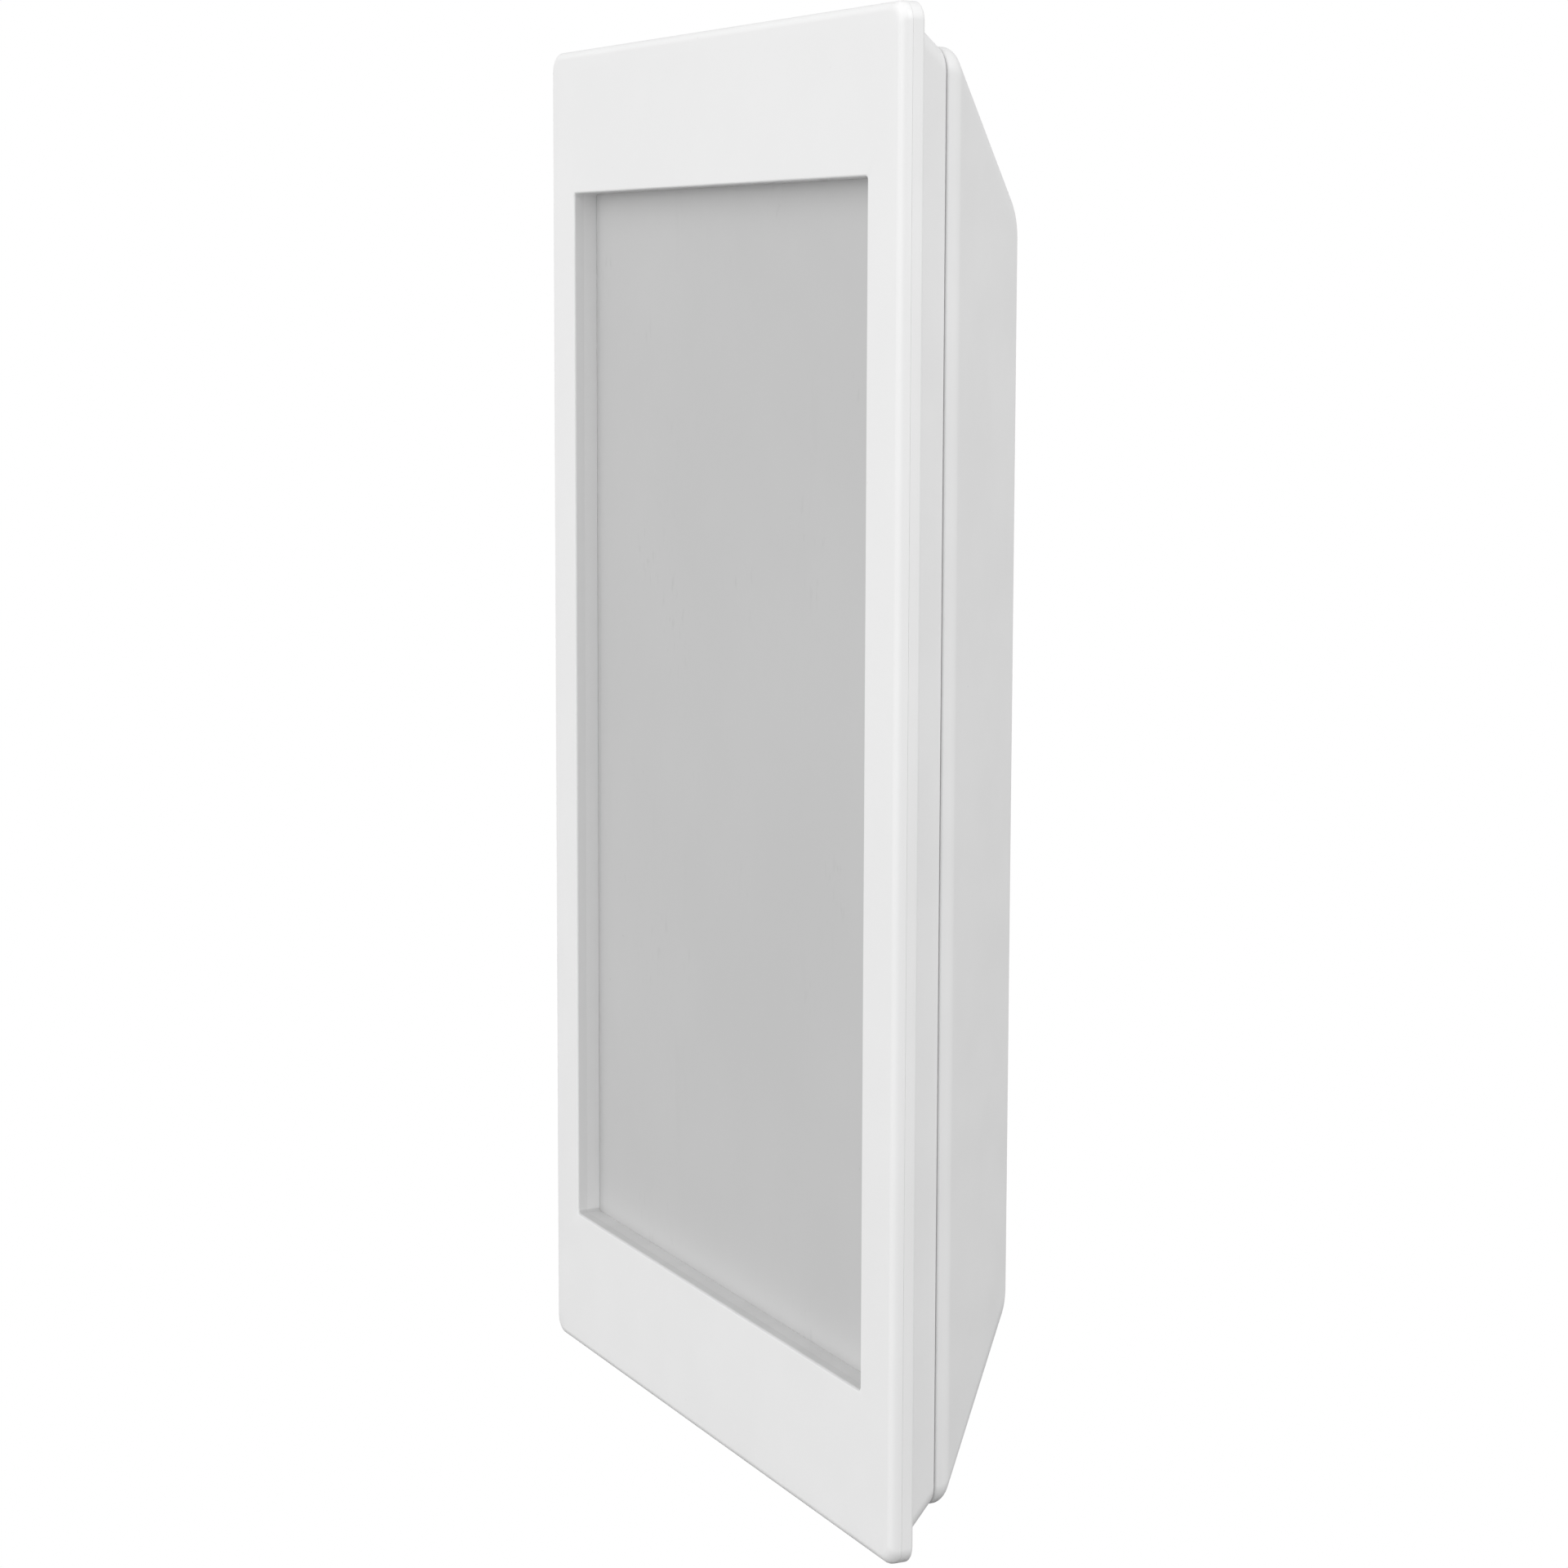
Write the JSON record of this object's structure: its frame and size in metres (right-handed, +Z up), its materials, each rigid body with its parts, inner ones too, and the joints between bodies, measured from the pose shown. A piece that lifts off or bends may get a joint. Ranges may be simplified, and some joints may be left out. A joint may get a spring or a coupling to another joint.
{
  "type": "video doorbell",
  "caption": "Wall-mounted indoor video door station: portrait touch display in a slim white housing with sloping back, hung on a steel wall bracket.",
  "frame": {"origin": "middle of the wall bracket's back face, where it lies on the wall", "axes": "the front faces -Y, the wall is towards +Y, and +Z is up"},
  "size_m": [0.112, 0.0275, 0.1914],
  "materials": {
    "white_front": "satin, softly rounded edge",
    "white_plastic": "fine moulded grain",
    "grey_foam": "closed-cell foam",
    "touch_film": "anti-glare touch panel, pale grey when the display is off",
    "dark_seal": "soft",
    "display_cell": "anti-glare",
    "light_guide": "clear",
    "led_strip": "satin",
    "tray_steel": "pressed sheet",
    "green_board": "solder mask",
    "chip_black": "moulded",
    "can_tin": "tinned",
    "ferrite": "sintered",
    "capacitor_sleeve": "drawn can",
    "cream_plastic": "moulded",
    "flat_cable": "film",
    "speaker_black": "moulded",
    "black_foam": "open-cell foam",
    "boot_rubber": "soft",
    "mic_nickel": "plated",
    "terminal_green": "moulded",
    "zinc_screw": "zinc plated",
    "dark_screw": "blackened",
    "button_grey": "moulded",
    "bracket_steel": "galvanised sheet"
  },
  "bodies": {
    "wall_mount": {"wall_bracket": "bracket_steel"},
    "panel": {"backlight_strip": "led_strip", "board_screw_1": "zinc_screw", "board_screw_2": "zinc_screw", "board_screw_3": "zinc_screw", "board_screw_4": "zinc_screw", "capacitor_lower": "capacitor_sleeve", "capacitor_upper": "capacitor_sleeve", "display_cable": "flat_cable", "display_gasket": "grey_foam", "display_socket": "cream_plastic", "display_tray": "tray_steel", "front_bezel": "white_front", "front_frame": "white_plastic", "housing_screw_1": "dark_screw", "housing_screw_2": "dark_screw", "housing_screw_3": "dark_screw", "housing_screw_4": "dark_screw", "housing_seal": "dark_seal", "lcd_panel": "display_cell", "light_guide": "light_guide", "main_board": "green_board", "memory_chip": "chip_black", "microphone": "mic_nickel", "microphone_boot": "boot_rubber", "mid_housing": "white_plastic", "power_inductor": "ferrite", "processor": "chip_black", "radio_module": "can_tin", "rear_shell": "white_plastic", "reset_switch": "chip_black", "shield_can": "can_tin", "speaker": "speaker_black", "speaker_gasket": "black_foam", "terminal_block": "terminal_green", "terminal_screw_1": "zinc_screw", "terminal_screw_2": "zinc_screw", "terminal_screw_3": "zinc_screw", "terminal_screw_4": "zinc_screw", "touch_panel": "touch_film"},
    "reset_button": {"reset_button": "button_grey"}
  },
  "joints": [
    {"name": "panel_lift", "type": "slide", "parent": "wall_mount", "child": "panel", "axis": [0, 0, 1], "range_m": [0, 0.004]},
    {"name": "reset_press", "type": "slide", "parent": "panel", "child": "reset_button", "axis": [0, -1, 0], "range_m": [0, 0.0006], "stiffness_N_per_m": 300}
  ]
}
